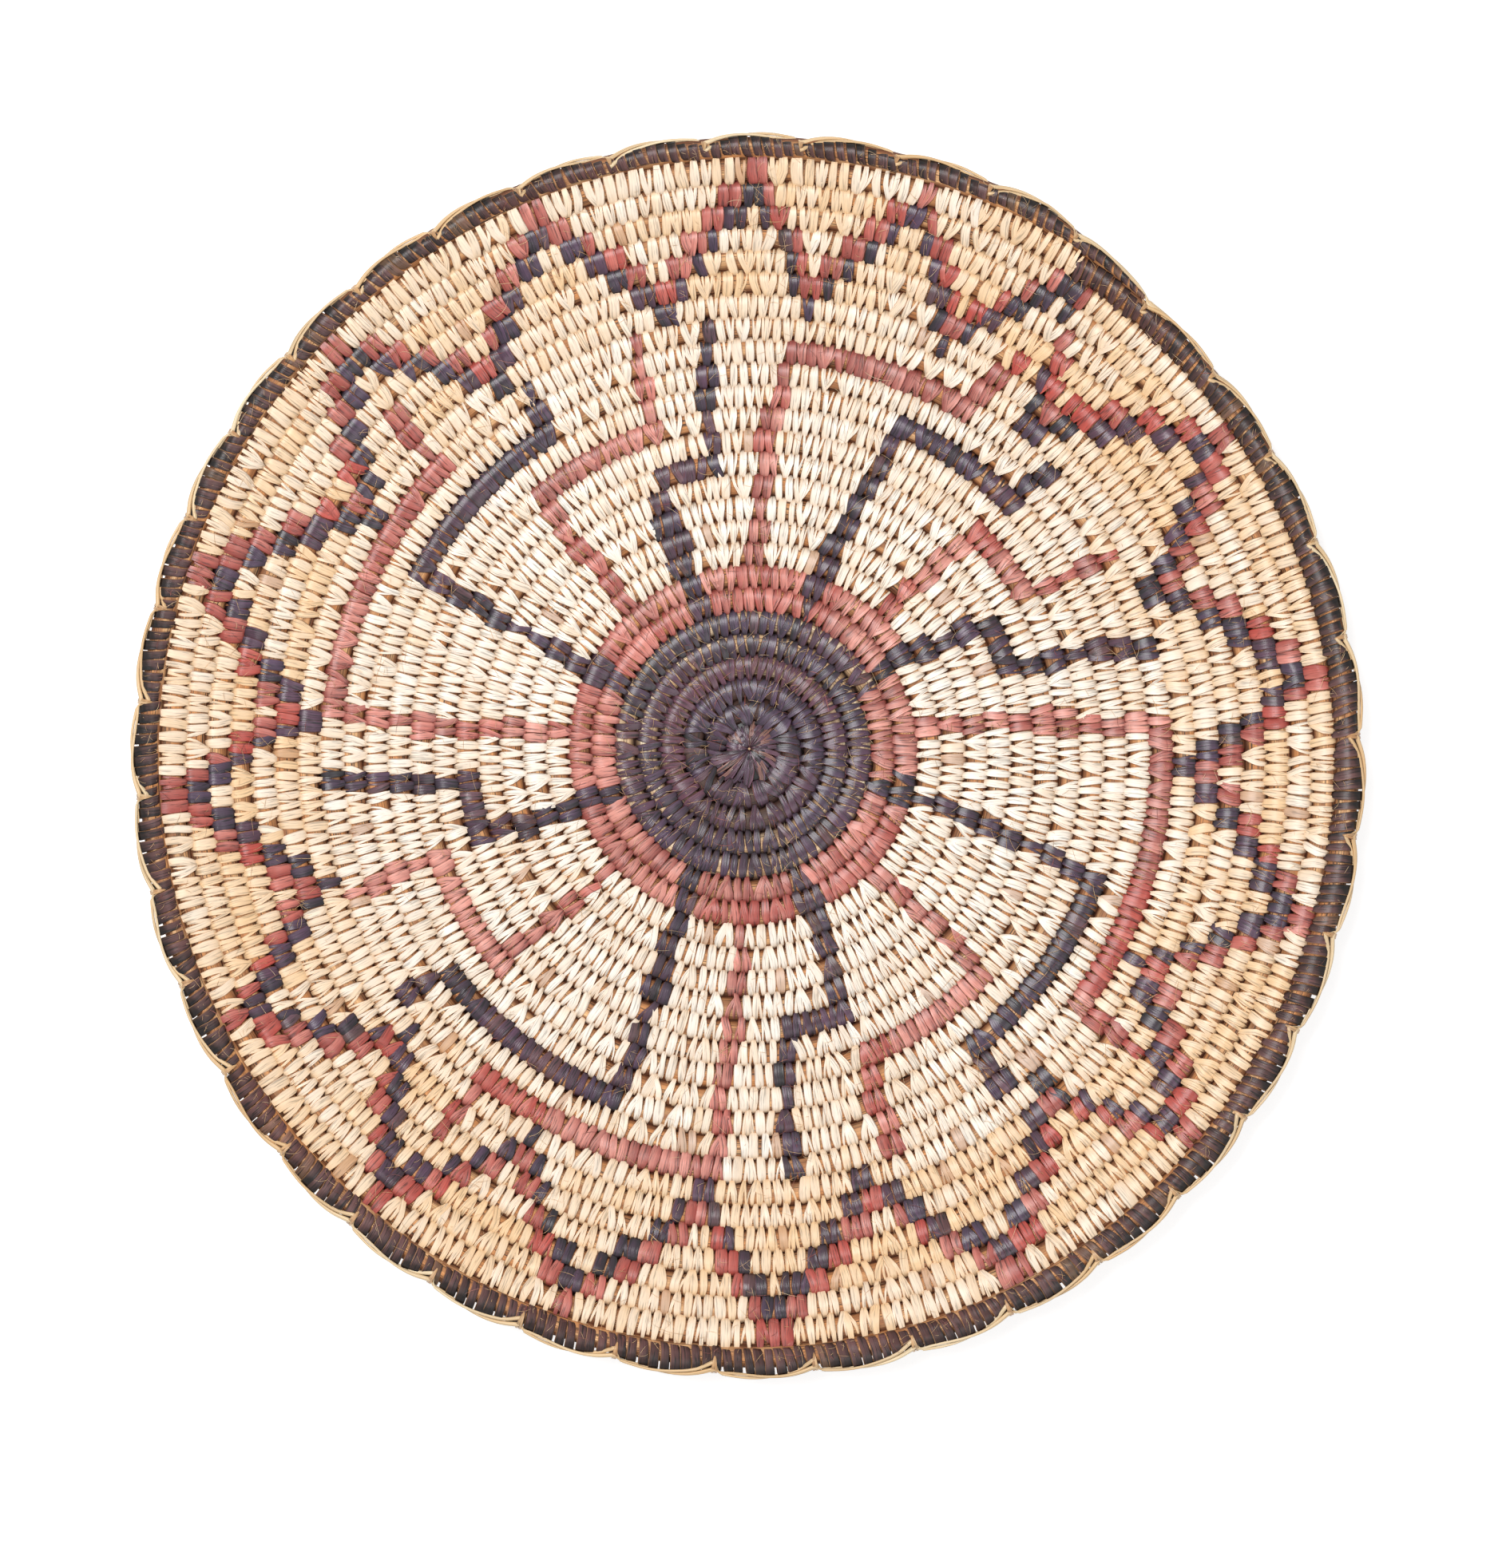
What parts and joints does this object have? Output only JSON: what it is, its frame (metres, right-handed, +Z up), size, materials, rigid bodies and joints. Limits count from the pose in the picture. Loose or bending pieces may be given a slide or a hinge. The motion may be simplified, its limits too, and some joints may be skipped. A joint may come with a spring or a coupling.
{
  "type": "coiled basket tray",
  "caption": "Round shallow coiled basket tray of sewn grass bundle, with a geometric figure in black and red and a cane-edged rim.",
  "frame": {"origin": "on the floor plane, on the flat underside of the start knot, where the spiral begins", "axes": "+Z up out of the open face; +X to the right and +Y to the top as the face is seen in the picture"},
  "size_m": [0.3801, 0.3829, 0.0238],
  "materials": {
    "black_splint": "dull, dyed split leaf or root",
    "red_splint": "dull, brick red root",
    "natural_splint": "satin, cream to straw split leaf",
    "pale_cane": "satin split cane"
  },
  "bodies": {
    "root": {"start_knot": "black_splint", "centre_coil": "black_splint", "ring_coil": "red_splint", "field_coil": "natural_splint", "wall_coil": "natural_splint", "band_coil": "natural_splint", "rim_coil": "black_splint", "edge_cane": "pale_cane", "edge_tie_01": "pale_cane", "edge_tie_02": "pale_cane", "edge_tie_03": "pale_cane", "edge_tie_04": "pale_cane", "edge_tie_05": "pale_cane", "edge_tie_06": "pale_cane", "edge_tie_07": "pale_cane", "edge_tie_08": "pale_cane", "edge_tie_09": "pale_cane", "edge_tie_10": "pale_cane", "edge_tie_11": "pale_cane", "edge_tie_12": "pale_cane", "edge_tie_13": "pale_cane", "edge_tie_14": "pale_cane", "edge_tie_15": "pale_cane", "edge_tie_16": "pale_cane", "edge_tie_17": "pale_cane", "edge_tie_18": "pale_cane", "edge_tie_19": "pale_cane", "edge_tie_20": "pale_cane", "edge_tie_21": "pale_cane", "edge_tie_22": "pale_cane", "edge_tie_23": "pale_cane", "edge_tie_24": "pale_cane", "edge_tie_25": "pale_cane", "edge_tie_26": "pale_cane", "edge_tie_27": "pale_cane", "edge_tie_28": "pale_cane", "edge_tie_29": "pale_cane", "edge_tie_30": "pale_cane", "edge_tie_31": "pale_cane", "edge_tie_32": "pale_cane", "edge_tie_33": "pale_cane", "edge_tie_34": "pale_cane", "edge_tie_35": "pale_cane", "edge_tie_36": "pale_cane", "edge_tie_37": "pale_cane", "edge_tie_38": "pale_cane", "edge_tie_39": "pale_cane"}
  },
  "joints": []
}
